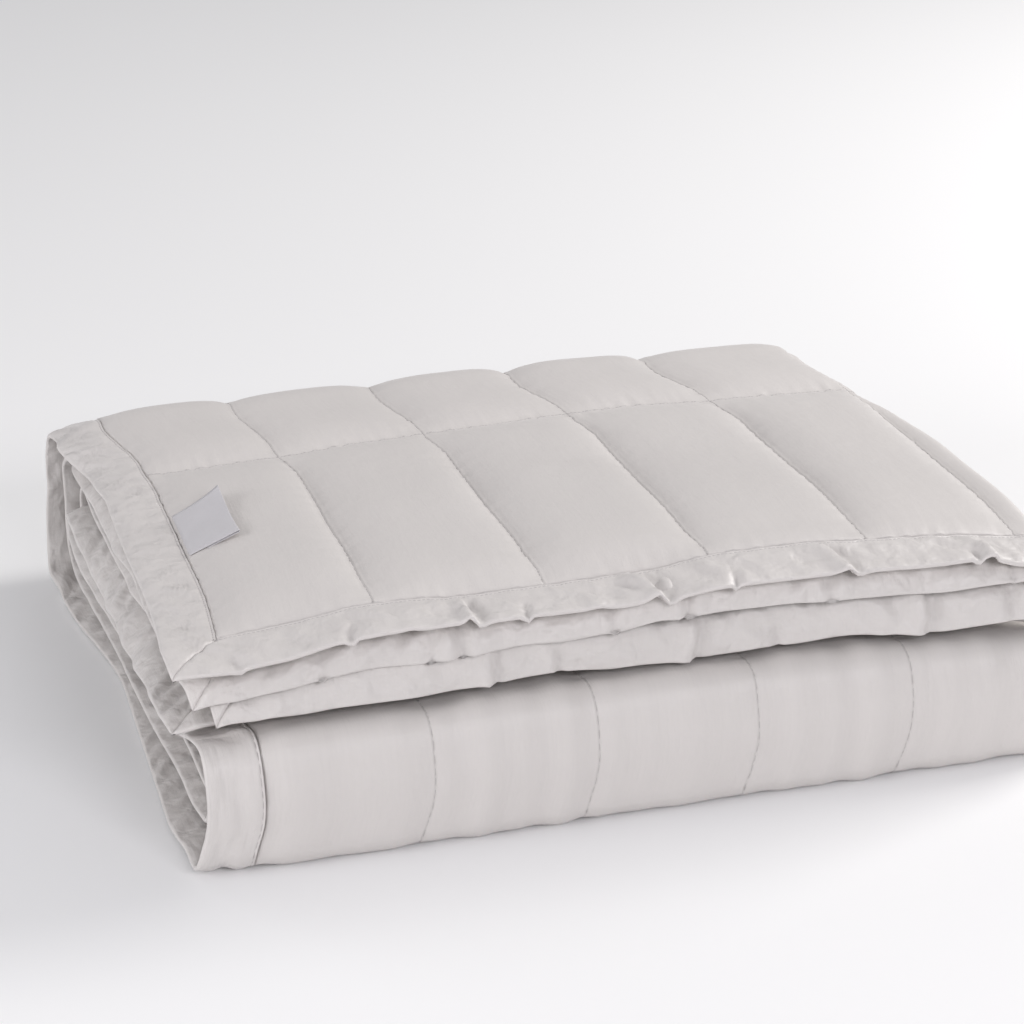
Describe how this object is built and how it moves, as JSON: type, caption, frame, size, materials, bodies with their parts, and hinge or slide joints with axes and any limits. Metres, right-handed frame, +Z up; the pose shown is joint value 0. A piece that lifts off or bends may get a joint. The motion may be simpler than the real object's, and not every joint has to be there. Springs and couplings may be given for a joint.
{
  "type": "weighted blanket",
  "caption": "Quilted weighted blanket with a wide mitred border, folded in half across its width and again along its length into a thick bundle.",
  "frame": {"origin": "middle of the folded bundle's base, on the surface that it lies on", "axes": "+X along the folded width, towards the side fold; +Y away from the front fold; +Z up"},
  "size_m": [0.6808, 0.4932, 0.1693],
  "materials": {
    "cotton_sateen": "light warm grey cotton sateen with a soft sheen",
    "cotton_binding": "light warm grey cotton sateen, topstitched",
    "label_tape": "mid grey woven tape"
  },
  "bodies": {
    "root": {"quilted_panel": "cotton_sateen", "binding_side_upper": "cotton_binding", "binding_side_lower": "cotton_binding", "binding_end_top": "cotton_binding", "binding_end_inner": "cotton_binding", "label_tab": "label_tape"}
  },
  "joints": []
}
